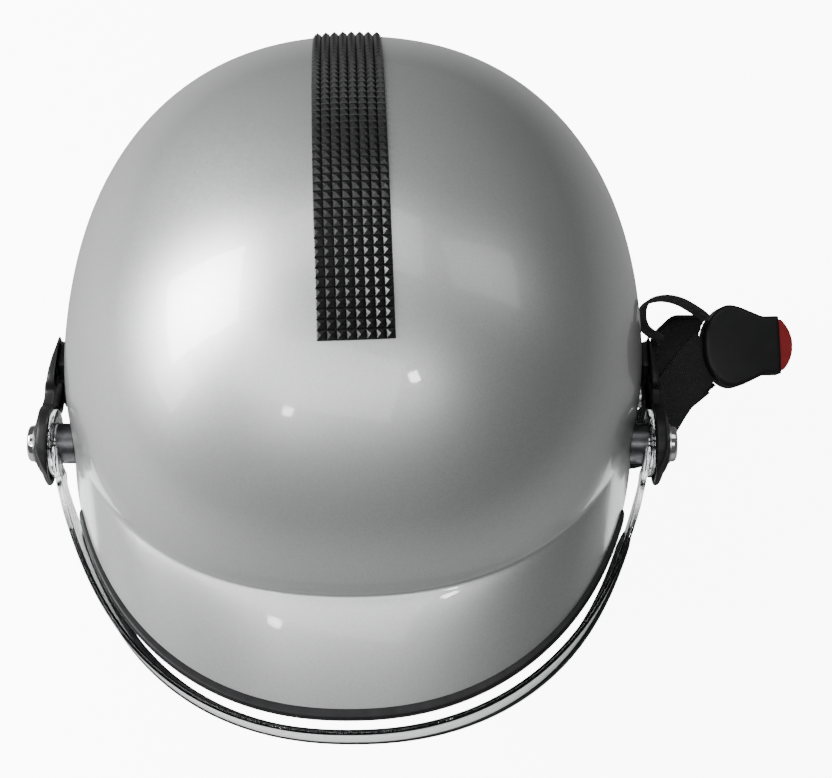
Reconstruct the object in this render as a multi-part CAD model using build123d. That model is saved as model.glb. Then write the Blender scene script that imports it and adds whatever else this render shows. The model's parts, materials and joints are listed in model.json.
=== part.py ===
from build123d import *
import math
import os

# Open face motorcycle helmet. Millimetres. +X is the wearer's left, -Y the front, +Z up.
# The origin is the centre of the head opening, in the plane of the lower rim.
# Left-hand pieces are modelled on the +X side and mirrored where the object is symmetric.

# ---- Shell -----------------------------------------------------------------------------
SHELL_HALF_WIDTH = 120.0
SHELL_FRONT = 126.4
SHELL_REAR = 143.7
DOME_BASE_Z = 40.7        # widest level of the dome, where its wall stands vertical
DOME_RISE = 110.2         # from the widest level to the crown
DOME_POWER = 1.9          # roundness of the dome's upright section
PLAN_POWER = 2.3          # roundness of the outlines seen from above
SKIRT_TUCK = 0.022        # how much narrower the lower rim is than the widest level
WALL = 3.5
RIM_FRONT_Z = 43.5        # the wall ends here, behind the peak
RIM_CURVE = [(-85, RIM_FRONT_Z), (-70, 36), (-58, 30), (-46, 25.5), (-25, 10.5), (-8, 2.5), (8, 0)]

# ---- Peak ------------------------------------------------------------------------------
CREASE_Z = 47.0           # where the peak leaves the dome
PEAK_HALF_WIDTH = 116.0
PEAK_DEPTH = 139.5
PEAK_CENTRE_Y = -24.0
PEAK_POWER = 2.2
PEAK_TIP_Z = 18.0
PEAK_EDGE_SLOPE = 0.08    # the edge rises towards the ears
PEAK_THICKNESS = 3.0
PEAK_END_ANGLE = 79.0
TRIM_END_ANGLE = 66.0
TRIM_COVER = 1.25         # rubber outside the painted edge
STRIPE_WIDTH = 28.7
STRIPE_FRONT_Y = -68.0
STRIPE_REAR_Z = 52.0
STRIPE_THICKNESS = 1.6
STRIPE_SKEW = 2.5         # degrees
STRIPE_OFFSET = 1.4       # towards the wearer's left

# ---- Liner and pads --------------------------------------------------------------------
FIT_GAP = 0.3
LINER_THICKNESS = 26.0
LINER_CROWN_THICKNESS = 30.0
LINER_CURVE = [(-90, 38), (-72, 36.5), (-60, 33.5), (-46, 30), (-24, 17), (-6, 7.5), (10, 4.2)]
PAD_THICKNESS = 9.0
PAD_RISE = 3.0            # pads stop this far above the liner's lower edge

# ---- Visor and pivots ------------------------------------------------------------------
PIVOT_Y, PIVOT_Z = -48.5, 34.0
VISOR_HALF_WIDTH = 123.6
VISOR_TAPER = 0.07        # the half width lost for every millimetre below the pivot
VISOR_POWER = 2.2
VISOR_CENTRE_Y = -18.0
VISOR_TOP_Y, VISOR_TOP_Z = -167.8, 12.0
VISOR_LOW_Y, VISOR_LOW_Z = -144.0, -45.0
VISOR_BOW = 2.0
VISOR_THICKNESS = 2.2
VISOR_TOP_CURVE = [(-66, 45), (-78, 35), (-100, 22), (-130, 14.5), (-180, 12)]
VISOR_LOW_CURVE = [(-180, -45), (-140, -45), (-108, -38.5), (-86, -24), (-72, -2), (-64, 22)]
VISOR_TRIM_END_Y = -74.0
EAR_RADIUS = 14.0
EAR_INNER_X, EAR_OUTER_X = 120.6, 122.8
SPACER_RADIUS = 8.25
SHOULDER_RADIUS = 4.0
SHANK_RADIUS = 2.5
RUNNING_GAP = 0.05
PLATE_INNER_X, PLATE_OUTER_X = 122.9, 129.2
PLATE_STEP = 1.0          # the rear lobe's face lies this much further in
PLATE_WALL = 2.2
REAR_LOBE_Y, REAR_LOBE_Z = -12.5, 35.0
WASHER_THICKNESS = 0.6
HEAD_RADIUS, HEAD_HEIGHT = 7.5, 2.6

# ---- Retention -------------------------------------------------------------------------
RIVET_Y, RIVET_Z = -22.0, 30.0
HINGE_X, HINGE_Y, HINGE_Z = 110.5, -22.0, -10.5
HANGER_X = 112.4          # outer face of the hanger's upper part
HANGER_THICKNESS = 1.5
HANGER_WIDTH = 24.0
WEB_WIDTH = 20.0
WEB_THICKNESS = 1.8
WEB_LOOP_RADIUS = 4.1
FLAP_THICKNESS = 2.6
SPLAY_ANGLE = 5.0         # the left strap's slope below level
SPLAY_ROLL = 30.0         # and its roll towards the front
FLAP_OUTLINE = [(15, 2.1), (46.5, 29.6), (50, 33), (50, 61), (42, 60.3), (26.8, 59.9), (19, 52), (14.5, 36)]
TAIL_PATH = [
    (40, 58.5), (36, 61.5), (28, 65.6), (20.4, 66.7), (13.5, 64.5), (11.3, 59.5), (13, 53), (20, 48.5),
]
TAIL_WIDTH = 14.0

# ---- Buckle, in its own frame: +X towards the button, +Y across, +Z to its front face -----
BUCKLE_U, BUCKLE_V = 49.3, 47.4
BUCKLE_TURN = 5.3
BUCKLE_REAR, BUCKLE_END = -10.0, 24.5
BUCKLE_HALF_WIDTH, NECK_HALF_WIDTH = 18.1, 12.9
BUCKLE_HALF_THICKNESS = 6.5
BUCKLE_SPLIT_Z = 1.0
BUCKLE_ROUNDING = 1.8
CAVITY_HALF_WIDTH = 11.4
BUTTON_HALF_WIDTH = 11.3
BUTTON_REACH = 30.3
BUTTON_REAR = 13.0
BUTTON_TRAVEL = 3.5
LATCH_PIN_X, LATCH_PIN_Z = 1.5, -0.8
TONGUE_LENGTH, TONGUE_WIDTH, TONGUE_THICKNESS = 24.0, 15.0, 1.8

PARTS = {}


def plan_point(degrees, half_width, front, rear, centre_y=0.0, power=PLAN_POWER):
    """Point of a rounded outline: 0 degrees is the front and 90 the wearer's left."""
    across, along = math.sin(math.radians(degrees)), -math.cos(math.radians(degrees))
    depth = front if along < 0 else rear
    reach = (abs(across / half_width) ** power + abs(along / depth) ** power) ** (-1 / power)
    return reach * across, centre_y + reach * along


def outline(z, half_width, front, rear, centre_y=0.0, power=PLAN_POWER, count=48):
    """Closed smooth outline at one level."""
    points = []
    for k in range(count):
        x, y = plan_point(360 * k / count, half_width, front, rear, centre_y, power)
        points.append(Vector(x, y, z))
    return Wire([Edge.make_spline(points, periodic=True)])


def dome(inset, low_z, crown_inset=None):
    """Solid bounded by the dome's surface moved inwards by inset."""
    rise = DOME_RISE - (inset if crown_inset is None else crown_inset)
    levels = []
    for z in (low_z, 13.0, 27.0, DOME_BASE_Z):
        drop = (DOME_BASE_Z - z) / DOME_BASE_Z
        levels.append((z, 1 - SKIRT_TUCK * drop * drop))
    for degrees in (12, 24, 36, 47, 57, 66, 74, 81, 86):
        angle = math.radians(degrees)
        z = DOME_BASE_Z + rise * math.sin(angle) ** (2 / DOME_POWER)
        levels.append((z, math.cos(angle) ** (2 / DOME_POWER)))
    sizes = [size - inset for size in (SHELL_HALF_WIDTH, SHELL_FRONT, SHELL_REAR)]
    return Solid.make_loft([outline(z, *(scale * size for size in sizes)) for z, scale in levels])


def side_prism(edges, x_from=-150.0, x_to=150.0):
    """Outline drawn in side view (Y, Z), carried along X."""
    face = Plane.YZ.offset(x_from) * make_face(edges)
    return extrude(face, amount=x_to - x_from)


def below_curve(curve, shift_y=0.0, shift_z=0.0):
    """Everything under a rim curve, which runs on level at both ends."""
    front_z, rear_z = curve[0][1], curve[-1][1]
    spline = Spline(*curve, tangents=[(1, 0), (1, 0)])
    corners = [curve[-1], (260, rear_z), (260, -90), (-260, -90), (-260, front_z), curve[0]]
    return Pos(0, shift_y, shift_z) * side_prism([spline, Polyline(*corners)])


def biggest(shape):
    return max(shape.solids(), key=lambda solid: solid.volume)


def cylinder_x(radius, x_from, x_to, y, z):
    """Cylinder along X between two stations."""
    middle = Pos((x_from + x_to) / 2, y, z) * Rot(0, 90, 0)
    return middle * Cylinder(radius, x_to - x_from)


def box_between(low, high):
    size = [high[i] - low[i] for i in range(3)]
    centre = [(high[i] + low[i]) / 2 for i in range(3)]
    return Pos(*centre) * Box(*size)


def both_sides(shape):
    return {"left": shape, "right": mirror(shape, Plane.YZ)}


# ---- Shell pieces ----------------------------------------------------------------------
def peak_station(degrees):
    """Upright section of the peak: its direction, reach of crease and of edge, edge height."""
    edge_x, edge_y = plan_point(
        degrees, PEAK_HALF_WIDTH, PEAK_DEPTH, PEAK_DEPTH, PEAK_CENTRE_Y, PEAK_POWER
    )
    edge_reach = math.hypot(edge_x, edge_y)
    bearing = math.degrees(math.atan2(edge_x, -edge_y))
    crease_x, crease_y = plan_point(bearing, SHELL_HALF_WIDTH, SHELL_FRONT, SHELL_FRONT)
    direction = Vector(edge_x / edge_reach, edge_y / edge_reach, 0)
    tip_y = PEAK_CENTRE_Y - PEAK_DEPTH
    edge_z = PEAK_TIP_Z + PEAK_EDGE_SLOPE * (edge_y - tip_y)
    return direction, math.hypot(crease_x, crease_y), edge_reach, edge_z


def peak_section(degrees):
    direction, crease, edge, edge_z = peak_station(degrees)
    width, drop = edge - crease, CREASE_Z - edge_z

    def at(reach, z):
        return direction * reach + Vector(0, 0, z)

    top = [
        at(crease - 2, CREASE_Z + 0.3),
        at(crease + 0.34 * width, CREASE_Z - 0.27 * drop),
        at(crease + 0.68 * width, CREASE_Z - 0.63 * drop),
        at(crease + 0.89 * width, CREASE_Z - 0.87 * drop),
        at(edge, edge_z),
    ]
    under = [
        at(edge - 0.9 * PEAK_THICKNESS, edge_z),
        at(crease + 0.85 * width - 2.4, CREASE_Z - 0.82 * drop - 1),
        at(crease + 0.64 * width - 1.8, CREASE_Z - 0.585 * drop - 2.4),
        at(crease + 0.32 * width - 0.9, CREASE_Z - 0.255 * drop - PEAK_THICKNESS),
        at(crease - 2, CREASE_Z - PEAK_THICKNESS),
    ]
    return Wire([
        Edge.make_spline(top),
        Edge.make_line(top[-1], under[0]),
        Edge.make_spline(under),
        Edge.make_line(under[-1], top[0]),
    ])


def trim_section(degrees):
    direction, _, edge, edge_z = peak_station(degrees)
    inner, outer = edge - 0.9 * PEAK_THICKNESS - TRIM_COVER, edge + TRIM_COVER
    low, high = edge_z - TRIM_COVER, edge_z + 3.6
    corners = [
        (outer, high), (outer, low + 1), (outer - 1, low),
        (inner + 1, low), (inner, low + 1), (inner, high),
    ]
    points = [direction * reach + Vector(0, 0, z) for reach, z in corners]
    return Wire.make_polygon(points, close=True)


def stations(end_angle, count):
    return [-end_angle + 2 * end_angle * k / (count - 1) for k in range(count)]


def make_shell():
    peak = Solid.make_loft([peak_section(a) for a in stations(PEAK_END_ANGLE, 21)])
    shell = dome(0, -12) + peak - dome(WALL, -14)
    shell -= below_curve(RIM_CURVE) & dome(0, -12)
    for side in (-1, 1):
        near, far = sorted((side * 100, side * 125))
        shell -= cylinder_x(3.5, near, far, PIVOT_Y, PIVOT_Z)
        shell -= cylinder_x(2.1, near, far, RIVET_Y, RIVET_Z)
        shell -= cylinder_x(2.1, near, far, REAR_LOBE_Y, REAR_LOBE_Z)
    return biggest(shell)


def make_rim_trim(shell):
    ring = dome(-TRIM_COVER, -14) - dome(WALL + TRIM_COVER, -16)
    band = ring & (below_curve(RIM_CURVE, 2.4, 3.2) - below_curve(RIM_CURVE, -1.0, -1.3))
    front = box_between((-150, -200, -60), (150, -38, 90))
    for side in (-1, 1):
        near, far = sorted((side * 105, side * 112.7))
        band -= box_between((near, HINGE_Y - 12.4, -20), (far, HINGE_Y + 12.4, 41))
    return biggest(band - front - shell)


def make_brim_trim(shell):
    bead = Solid.make_loft([trim_section(a) for a in stations(TRIM_END_ANGLE, 19)])
    return biggest(bead - shell)


def make_stripe():
    layer = dome(-STRIPE_THICKNESS, -10) - dome(0, -12)
    half = STRIPE_WIDTH / 2
    span = box_between((-half, STRIPE_FRONT_Y, STRIPE_REAR_Z), (half, 200, 200))
    return biggest(layer & (Pos(STRIPE_OFFSET, 0, 0) * Rot(0, 0, STRIPE_SKEW) * span))


# ---- Liner and pads --------------------------------------------------------------------
def make_liner():
    outer = dome(WALL + FIT_GAP, -12)
    cavity = dome(WALL + FIT_GAP + LINER_THICKNESS, -14, WALL + FIT_GAP + LINER_CROWN_THICKNESS)
    liner = outer - cavity - below_curve(LINER_CURVE)
    for side in (-1, 1):
        near, far = sorted((side * 103, side * 125))
        liner -= box_between((near, PIVOT_Y - 10, PIVOT_Z - 12), (far, PIVOT_Y + 10, PIVOT_Z + 10))
        liner -= box_between((near, HINGE_Y - 14, -20), (far, HINGE_Y + 14, 41))
    return biggest(liner)


def make_pads():
    """Four head-band pads and a crown pad, lying on the liner's cavity surface."""
    face = WALL + 2 * FIT_GAP + LINER_THICKNESS
    crown_face = WALL + 2 * FIT_GAP + LINER_CROWN_THICKNESS
    layer = dome(face, -12, crown_face) - dome(face + PAD_THICKNESS, -14, crown_face + PAD_THICKNESS)
    layer -= below_curve(LINER_CURVE, 0, PAD_RISE)
    regions = {
        "brow_pad": ((-62, -130, 30), (62, -50, 84)),
        "nape_pad": ((-66, 56, 0), (66, 150, 60)),
        "side_pad_left": ((55, -44, 0), (130, 50, 66)),
        "side_pad_right": ((-130, -44, 0), (-55, 50, 66)),
        "crown_pad": ((-48, -48, 94), (48, 56, 140)),
    }
    return {name: biggest(layer & box_between(*corners)) for name, corners in regions.items()}


# ---- Visor -----------------------------------------------------------------------------
def visor_front_y(z):
    """Front profile of the shield: a chord from its top to its lower edge, bowed forwards."""
    share = (VISOR_TOP_Z - z) / (VISOR_TOP_Z - VISOR_LOW_Z)
    chord = VISOR_TOP_Y + share * (VISOR_LOW_Y - VISOR_TOP_Y)
    return chord - VISOR_BOW * (1 - (2 * share - 1) ** 2)


def visor_body(grow, low_z=-64.0, high_z=60.0):
    """Solid inside the shield's outer surface, moved outwards by grow."""
    wires = []
    for k in range(8):
        z = low_z + (high_z - low_z) * k / 7
        front = VISOR_CENTRE_Y - visor_front_y(z) + grow
        half_width = VISOR_HALF_WIDTH - VISOR_TAPER * max(PIVOT_Z - z, 0) + grow
        wires.append(outline(z, half_width, front, 60, VISOR_CENTRE_Y, VISOR_POWER))
    return Solid.make_loft(wires)


def visor_region(low_curve):
    top = Spline(*VISOR_TOP_CURVE)
    low = Spline(*low_curve)
    return side_prism([
        top, Line(VISOR_TOP_CURVE[-1], low_curve[0]), low,
        Polyline(low_curve[-1], (-58.5, 24), (-58.5, 44), VISOR_TOP_CURVE[0]),
    ])


def make_visor():
    shield = (visor_body(0) - visor_body(-VISOR_THICKNESS)) & visor_region(VISOR_LOW_CURVE)
    ear = cylinder_x(EAR_RADIUS, EAR_INNER_X, EAR_OUTER_X, PIVOT_Y, PIVOT_Z)
    for disc in both_sides(ear).values():
        shield += disc
    for side in (-1, 1):
        near, far = sorted((side * 115, side * 126))
        shield -= cylinder_x(SHOULDER_RADIUS + RUNNING_GAP, near, far, PIVOT_Y, PIVOT_Z)
    return biggest(shield)


def make_visor_trim(shield):
    """Channel over the shield's lower edge; its ends stop short of the ears."""
    ring = visor_body(1.1) - visor_body(-VISOR_THICKNESS - 1.1)
    outer = visor_region([(y - 0.8, z - 1.2) for y, z in VISOR_LOW_CURVE])
    inner = visor_region([(y + 1.6, z + 2.6) for y, z in VISOR_LOW_CURVE])
    ends = box_between((-150, VISOR_TRIM_END_Y, -80), (150, 0, 80))
    return biggest((ring & outer) - inner - ends - shield)


def plate_profile(inset=0.0):
    """Two-lobed side view of the cover plate, drawn in (Y, Z)."""
    front = Pos(PIVOT_Y, PIVOT_Z) * Circle(15.5 - inset)
    tip = Pos(PIVOT_Y - 5, PIVOT_Z - 1) * Ellipse(12.3 - inset, 13 - inset)
    rear = Pos(REAR_LOBE_Y - 2.5, REAR_LOBE_Z) * RectangleRounded(26 - 2 * inset, 27 - 2 * inset, 5 - inset)
    waist = Pos((PIVOT_Y + REAR_LOBE_Y) / 2, PIVOT_Z + 0.5) * Rectangle(34, 17 - 2 * inset)
    return front + tip + rear + waist


def make_side_plate():
    depth = PLATE_OUTER_X - PLATE_INNER_X
    plate = extrude(Plane.YZ.offset(PLATE_INNER_X) * plate_profile(), amount=depth)
    step_low = (PLATE_OUTER_X - PLATE_STEP, REAR_LOBE_Y - 14, 0)
    plate -= box_between(step_low, (PLATE_OUTER_X + 5, 30, 80))
    hollow = depth - PLATE_WALL - PLATE_STEP
    pocket = extrude(Plane.YZ.offset(PLATE_INNER_X) * plate_profile(PLATE_WALL), amount=hollow)
    pocket -= cylinder_x(SPACER_RADIUS, PLATE_INNER_X, PLATE_OUTER_X, PIVOT_Y, PIVOT_Z)
    pocket -= cylinder_x(5, PLATE_INNER_X, PLATE_OUTER_X, REAR_LOBE_Y, REAR_LOBE_Z)
    plate -= pocket
    foot = box_between(
        (116, REAR_LOBE_Y - 4, REAR_LOBE_Z - 9), (PLATE_INNER_X + 1, REAR_LOBE_Y + 9, REAR_LOBE_Z + 9)
    )
    plate += foot - dome(-0.1, 0)
    plate += cylinder_x(2.0, 116.6, PLATE_INNER_X, REAR_LOBE_Y, REAR_LOBE_Z)
    bore_radius = SHOULDER_RADIUS + RUNNING_GAP
    plate -= cylinder_x(bore_radius, PLATE_INNER_X - 1, PLATE_OUTER_X + 1, PIVOT_Y, PIVOT_Z)
    return biggest(plate)


def make_spacer(shell):
    outer_x = EAR_INNER_X - 0.1
    sleeve = cylinder_x(SPACER_RADIUS, 108, outer_x, PIVOT_Y, PIVOT_Z)
    sleeve -= cylinder_x(SHANK_RADIUS + RUNNING_GAP, 100, 130, PIVOT_Y, PIVOT_Z)
    inside = dome(WALL / 2, -12)
    return biggest(sleeve - shell - inside)


def make_screw():
    seat_x = PLATE_OUTER_X + 0.1 + WASHER_THICKNESS
    head = cylinder_x(HEAD_RADIUS, seat_x, seat_x + HEAD_HEIGHT, PIVOT_Y, PIVOT_Z)
    rim = head.edges().filter_by(GeomType.CIRCLE).sort_by(Axis.X)[-1]
    head = fillet(rim, 1.5)
    for turn in (45, -45):
        slot = Pos(seat_x + HEAD_HEIGHT, PIVOT_Y, PIVOT_Z) * Rot(turn, 0, 0) * Box(3.0, 8.0, 1.3)
        head -= slot
    shoulder = cylinder_x(SHOULDER_RADIUS, EAR_INNER_X - 0.1, seat_x, PIVOT_Y, PIVOT_Z)
    shank = cylinder_x(SHANK_RADIUS, 105, EAR_INNER_X - 0.1, PIVOT_Y, PIVOT_Z)
    return head + shoulder + shank


def make_washer():
    seat_x = PLATE_OUTER_X + 0.05
    ring = cylinder_x(HEAD_RADIUS + 0.6, seat_x, seat_x + WASHER_THICKNESS, PIVOT_Y, PIVOT_Z)
    return ring - cylinder_x(SHOULDER_RADIUS + RUNNING_GAP, seat_x - 1, seat_x + 2, PIVOT_Y, PIVOT_Z)


def make_tnut():
    flange = cylinder_x(7.5, 106.0, 107.4, PIVOT_Y, PIVOT_Z)
    barrel = cylinder_x(3.4, 107.4, 110.8, PIVOT_Y, PIVOT_Z)
    return flange + barrel - cylinder_x(SHANK_RADIUS + RUNNING_GAP, 100, 120, PIVOT_Y, PIVOT_Z)


# ---- Strap anchors ---------------------------------------------------------------------
def make_hanger():
    """Steel plate inside the wall, jogged inwards below so that its slot hangs under the rim."""
    upper_x, lower_x = HANGER_X, HINGE_X + HANGER_THICKNESS / 2
    face = [(upper_x, 38), (upper_x, 16), (lower_x, 6), (lower_x, HINGE_Z - 1.75)]
    back = [(x - HANGER_THICKNESS, z) for x, z in reversed(face)]
    profile = make_face(Polyline(*face, *back, close=True))
    plate = extrude(Plane.XZ.offset(-HINGE_Y) * profile, amount=HANGER_WIDTH / 2, both=True)
    slot = box_between(
        (lower_x - 5, HINGE_Y - 10.2, HINGE_Z + 1.75), (lower_x + 3, HINGE_Y + 10.2, HINGE_Z + 5)
    )
    return plate - slot - cylinder_x(2.1, 100, 120, RIVET_Y, RIVET_Z)


def make_rivet(shell):
    head = cylinder_x(5.0, 116, 121.2, RIVET_Y, RIVET_Z)
    rim = head.edges().filter_by(GeomType.CIRCLE).sort_by(Axis.X)[-1]
    head = fillet(rim, 1.4) - shell - dome(WALL / 2, -12)
    collar = cylinder_x(3.8, HANGER_X + 0.05, 118, RIVET_Y, RIVET_Z) & dome(WALL + 0.02, -12)
    shank = cylinder_x(2.0, HANGER_X - 3, 120, RIVET_Y, RIVET_Z)
    peened = cylinder_x(3.6, HANGER_X - 3, HANGER_X - HANGER_THICKNESS - 0.05, RIVET_Y, RIVET_Z)
    return biggest(head + collar + shank + peened)


# ---- Straps ----------------------------------------------------------------------------
def strap_plane():
    """Plane of the splayed left strap: x away from the helmet, y towards the rear."""
    slope, roll = math.radians(SPLAY_ANGLE), math.radians(SPLAY_ROLL)
    outwards = Vector(math.cos(slope), 0, -math.sin(slope))
    rearwards = Vector(0, math.cos(roll), math.sin(roll))
    return Plane((HINGE_X, HINGE_Y, HINGE_Z), x_dir=outwards, z_dir=outwards.cross(rearwards))


def buckle_plane():
    strap = strap_plane()
    origin = strap.from_local_coords(Vector(BUCKLE_U, BUCKLE_V, 0))
    turned = strap.rotated((0, 0, BUCKLE_TURN))
    return Plane(origin, x_dir=turned.x_dir, z_dir=turned.z_dir)


def web_loop(x, y, z):
    """Loop of webbing round a hanger's bar, its axis along Y."""
    place = Pos(x, y, z) * Rot(90, 0, 0)
    inner_radius = WEB_LOOP_RADIUS - WEB_THICKNESS
    return place * (Cylinder(WEB_LOOP_RADIUS, WEB_WIDTH - 1) - Cylinder(inner_radius, WEB_WIDTH + 2))


def web_wire(centre, across, upright):
    """Rectangular webbing section about a point."""
    across = across.normalized() * (WEB_WIDTH / 2)
    upright = upright.normalized() * (WEB_THICKNESS / 2)
    signs = ((1, 1), (-1, 1), (-1, -1), (1, -1))
    return Wire.make_polygon([centre + across * a + upright * b for a, b in signs], close=True)


def make_chin_strap_left():
    strap = strap_plane()
    level, rolled = Vector(0, 1, 0), strap.y_dir
    slot = buckle_plane().from_local_coords(Vector(BUCKLE_REAR + 4, 0, 0))
    start = Vector(HINGE_X + 1, HINGE_Y, HINGE_Z + WEB_LOOP_RADIUS - WEB_THICKNESS / 2)
    stations_list = [
        (start, level),
        (strap.from_local_coords(Vector(9, 1, 2.0)), level * 0.6 + rolled * 0.4),
        (strap.from_local_coords(Vector(18, 9, 0)), rolled),
        (strap.from_local_coords(Vector(30, 28, 0)), rolled),
        (slot, rolled),
    ]
    wires = []
    for centre, across in stations_list:
        wires.append(web_wire(centre, across, strap.x_dir.cross(across)))
    return biggest(Solid.make_loft(wires, ruled=True) + web_loop(HINGE_X, HINGE_Y, HINGE_Z))


def flap_solid(plane):
    face = make_face(Polyline(*FLAP_OUTLINE, close=True))
    face = fillet(face.vertices(), 2.5)
    top = -WEB_THICKNESS / 2 - 0.4
    return plane * (Pos(0, 0, top - FLAP_THICKNESS) * extrude(face, amount=FLAP_THICKNESS))


def make_strap_tail():
    ribbon = trace(Spline(*TAIL_PATH), line_width=1.6)
    return biggest(strap_plane() * (Pos(0, 0, -0.9) * extrude(ribbon, amount=TAIL_WIDTH)))


def hanging_plane():
    """Plane of the right strap, which hangs: x downwards, y towards the rear."""
    return Plane((-HINGE_X, HINGE_Y, HINGE_Z), x_dir=(0, 0, -1), z_dir=(1, 0, 0))


def make_chin_strap_right():
    length = 92.0
    web = Pos(length / 2 + 3, 0, 0) * Box(length, WEB_WIDTH, WEB_THICKNESS)
    return biggest(hanging_plane() * web + web_loop(-HINGE_X, HINGE_Y, HINGE_Z))


# ---- Buckle ----------------------------------------------------------------------------
def buckle_outline(grow=0.0):
    neck = NECK_HALF_WIDTH + grow
    upper = [
        (BUCKLE_REAR - grow, 0), (-7.2 - grow, 11.5), (1.0, BUCKLE_HALF_WIDTH + grow),
        (9, 16.4 + grow), (16, neck + 0.4), (BUCKLE_END, neck),
    ]
    half = Spline(*upper, tangents=[(0, 1), (1, 0)])
    mouth = Line((BUCKLE_END, neck), (BUCKLE_END, -neck))
    return make_face([half, mirror(half, Plane.XZ), mouth])


def make_buckle_shells():
    """Housing below the split and cover above it, hollow, open at the button's end."""
    body = extrude(buckle_outline(), amount=BUCKLE_HALF_THICKNESS, both=True)
    layers = body.edges().group_by(Axis.Z)
    body = fillet(layers[0] + layers[-1], BUCKLE_ROUNDING)
    cavity = box_between((-2.5, -CAVITY_HALF_WIDTH, -4.6), (BUCKLE_END + 5, CAVITY_HALF_WIDTH, 4.6))
    slot = box_between((BUCKLE_REAR - 5, -11.6, -1.4), (BUCKLE_REAR + 5, 11.6, 1.4))
    divider = box_between((21, -CAVITY_HALF_WIDTH, -1.3), (BUCKLE_END, CAVITY_HALF_WIDTH, -0.6))
    body = body - cavity - slot + divider
    pin = Pos(LATCH_PIN_X, 0, LATCH_PIN_Z) * Rot(90, 0, 0) * Cylinder(1.0, 2 * CAVITY_HALF_WIDTH + 2)
    low = box_between((-40, -40, -20), (60, 40, BUCKLE_SPLIT_Z))
    return biggest(body & low - pin), biggest(body - low)


def make_button():
    """Red push button: a bowed nose with two legs that reach back to the springs."""
    half, nose_x = BUTTON_HALF_WIDTH, BUCKLE_END + 1.0
    face = make_face([
        Polyline((nose_x, -half), (BUTTON_REAR, -half), (BUTTON_REAR, half), (nose_x, half)),
        ThreePointArc((nose_x, half), (BUTTON_REACH, 0), (nose_x, -half)),
    ])
    body = Pos(0, 0, -0.5) * extrude(face, amount=4.9)
    body -= box_between((BUTTON_REAR - 1, -5.6, -2), (BUTTON_REAR + 7.5, 5.6, 6))
    return biggest(body)


def make_latch():
    """Steel lever on the pin; its hook drops into the tongue's window."""
    arm = box_between((-1.5, -4.5, -1.0), (12.0, 4.5, 0.2))
    hook = box_between((10.0, -3.5, -3.4), (12.0, 3.5, -1.0))
    eye = Pos(LATCH_PIN_X, 0, LATCH_PIN_Z) * Rot(90, 0, 0) * Cylinder(1.9, 9)
    bore = Pos(LATCH_PIN_X, 0, LATCH_PIN_Z) * Rot(90, 0, 0) * Cylinder(1.0 + RUNNING_GAP, 12)
    return arm + hook + eye - bore


def make_springs():
    """Two small return springs between the button's legs and the cavity's rear wall."""
    coil_radius, wire_radius, turns = 1.7, 0.3, 6
    height = BUTTON_REAR + 1.9 - 2 * wire_radius
    coil = Helix(pitch=height / turns, height=height, radius=coil_radius)
    wire = sweep(Plane(origin=coil @ 0, z_dir=coil % 0) * Circle(wire_radius), path=coil)
    lying = Rot(0, 90, 0) * wire
    return Compound([Pos(-2.2 + wire_radius, y, 2.4) * lying for y in (-8.4, 8.4)])


def make_tongue_pieces():
    """Steel tongue in its plastic grip, in the hanging strap's plane; x points down."""
    grip_from = 88.0
    grip = Pos(grip_from + 11, 0, 0) * Box(22, 27, 8)
    grip = fillet(grip.edges(), 2.2)
    grip -= Pos(grip_from + 3, 0, 0) * Box(16, WEB_WIDTH + 0.6, WEB_THICKNESS + 0.2)
    plate_from = grip_from + 12
    blade = box_between(
        (plate_from, -TONGUE_WIDTH / 2, -TONGUE_THICKNESS / 2),
        (plate_from + 10 + TONGUE_LENGTH, TONGUE_WIDTH / 2, TONGUE_THICKNESS / 2),
    )
    corners = blade.edges().filter_by(Axis.Z).sort_by(Axis.X)[-2:]
    blade = fillet(corners, 4.0)
    socket = box_between(
        (plate_from, -TONGUE_WIDTH / 2, -TONGUE_THICKNESS / 2),
        (grip_from + 23, TONGUE_WIDTH / 2, TONGUE_THICKNESS / 2),
    )
    window = Pos(plate_from + 22, 0, 0) * Box(8, 8, 6)
    plane = hanging_plane()
    return plane * (grip - socket), plane * (blade - window)


def make_slider():
    """Three-bar slide on the hanging webbing; its slots run freely over the web."""
    frame = Pos(76, 0, 0) * Box(11, WEB_WIDTH + 7, 4.2)
    frame = fillet(frame.edges(), 1.2)
    return hanging_plane() * (frame - Pos(76, 0, 0) * Box(20, WEB_WIDTH + 0.6, WEB_THICKNESS + 0.4))


def add_pair(name, shape):
    for side, piece in both_sides(shape).items():
        PARTS[f"{name}_{side}"] = piece


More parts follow.
